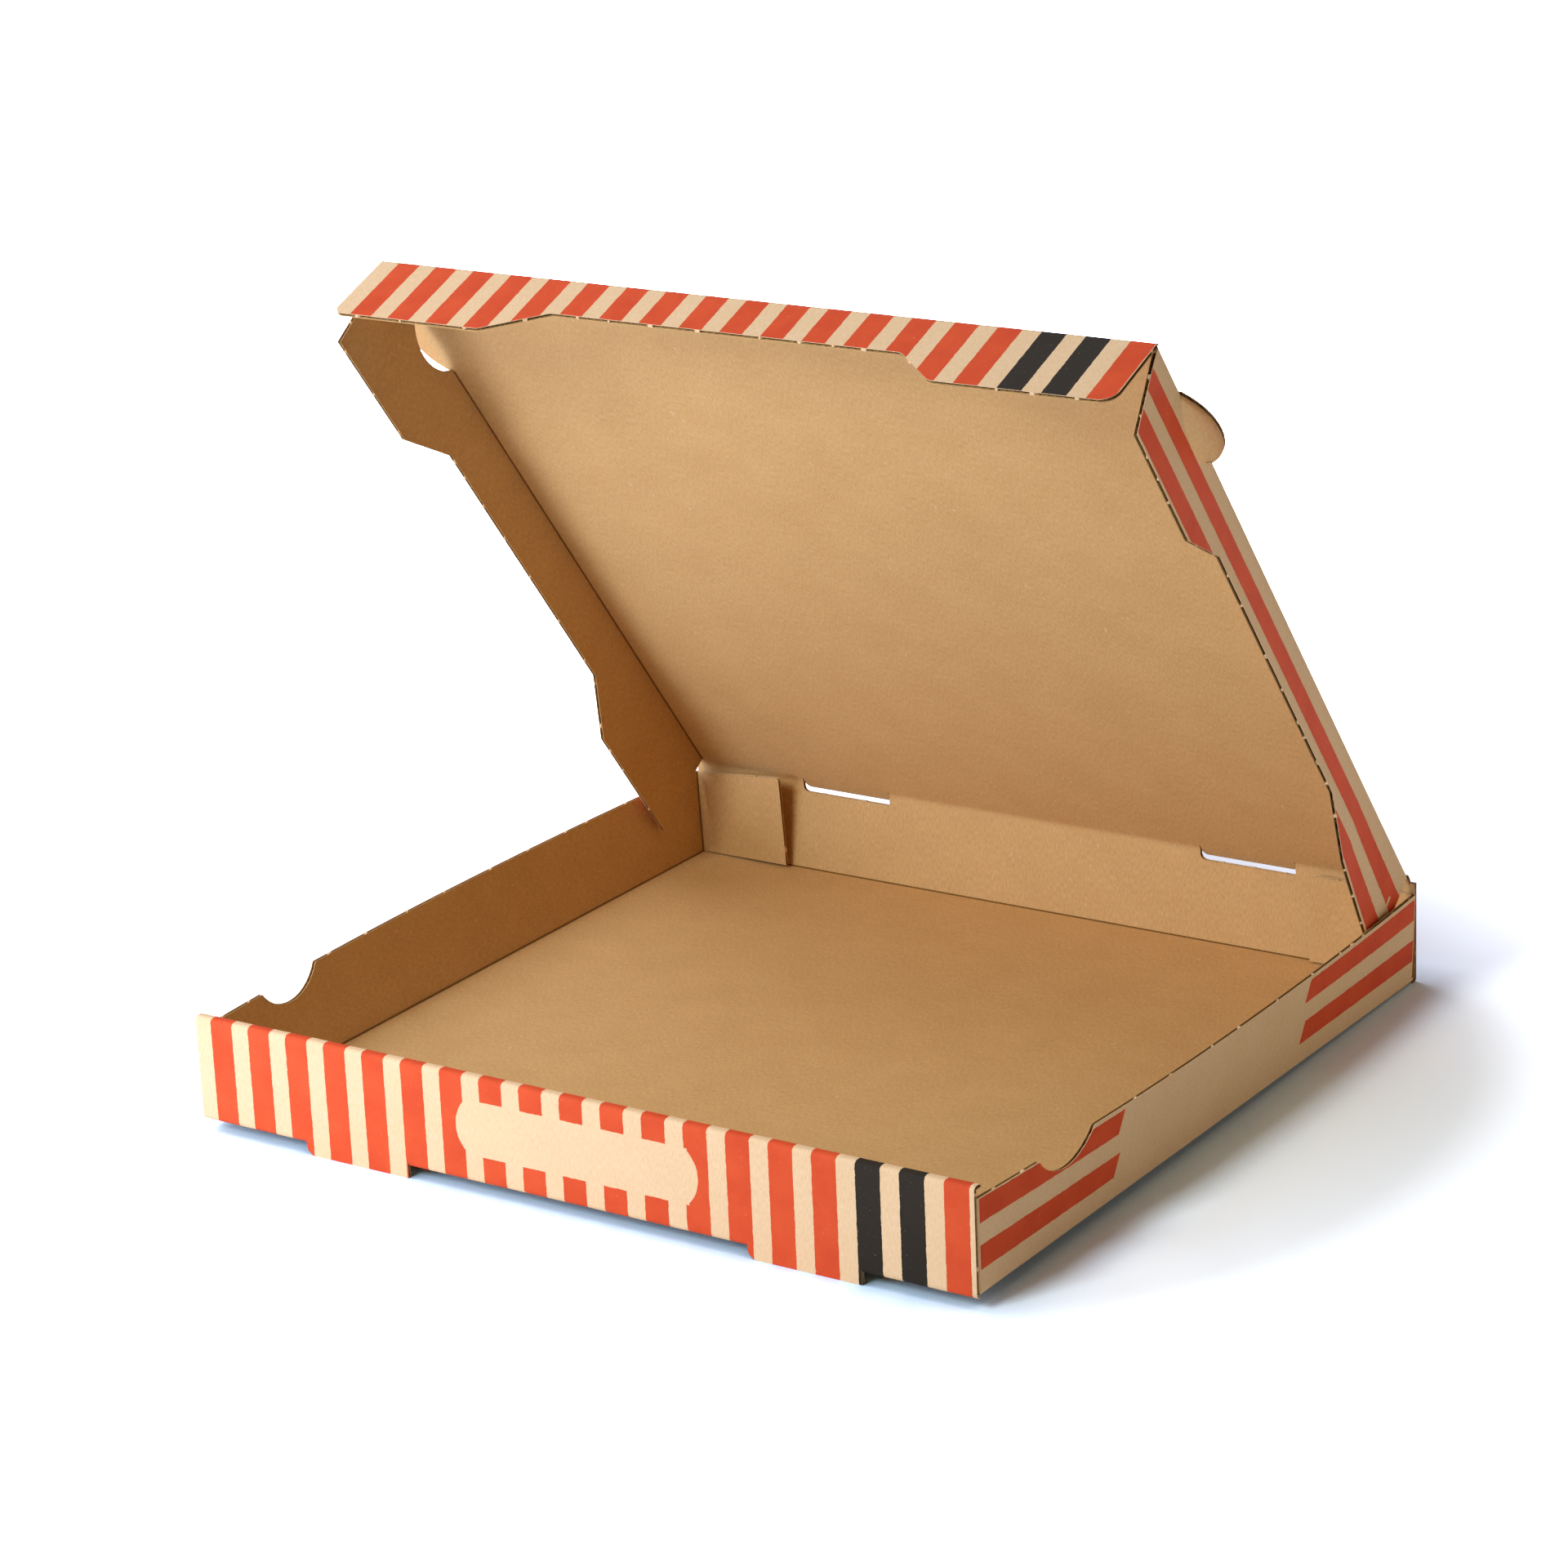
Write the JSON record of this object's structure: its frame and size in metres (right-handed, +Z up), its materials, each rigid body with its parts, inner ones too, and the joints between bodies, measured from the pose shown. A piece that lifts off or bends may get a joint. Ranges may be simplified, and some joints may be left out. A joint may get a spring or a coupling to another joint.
{
  "type": "pizza box",
  "caption": "Square folded corrugated-board carton with a shallow tray, a double front wall on two small feet and a hinged lid with tuck flaps and ears.",
  "frame": {"origin": "centre of the tray's underside", "axes": "+X right, +Y to the back where the lid hinges, +Z up"},
  "size_m": [0.3442, 0.3285, 0.2972],
  "materials": {
    "tray_board": "matte kraft liner with printed stripes",
    "lid_board": "matte kraft liner with printed stripes"
  },
  "bodies": {
    "tray": {"tray": "tray_board"},
    "lid": {"lid": "lid_board"}
  },
  "joints": [
    {"name": "lid_hinge", "type": "hinge", "parent": "tray", "child": "lid", "pos_m": [0, 0.163, 0.0405], "axis": [-1, 0, 0], "range_deg": [-53, 127]}
  ]
}
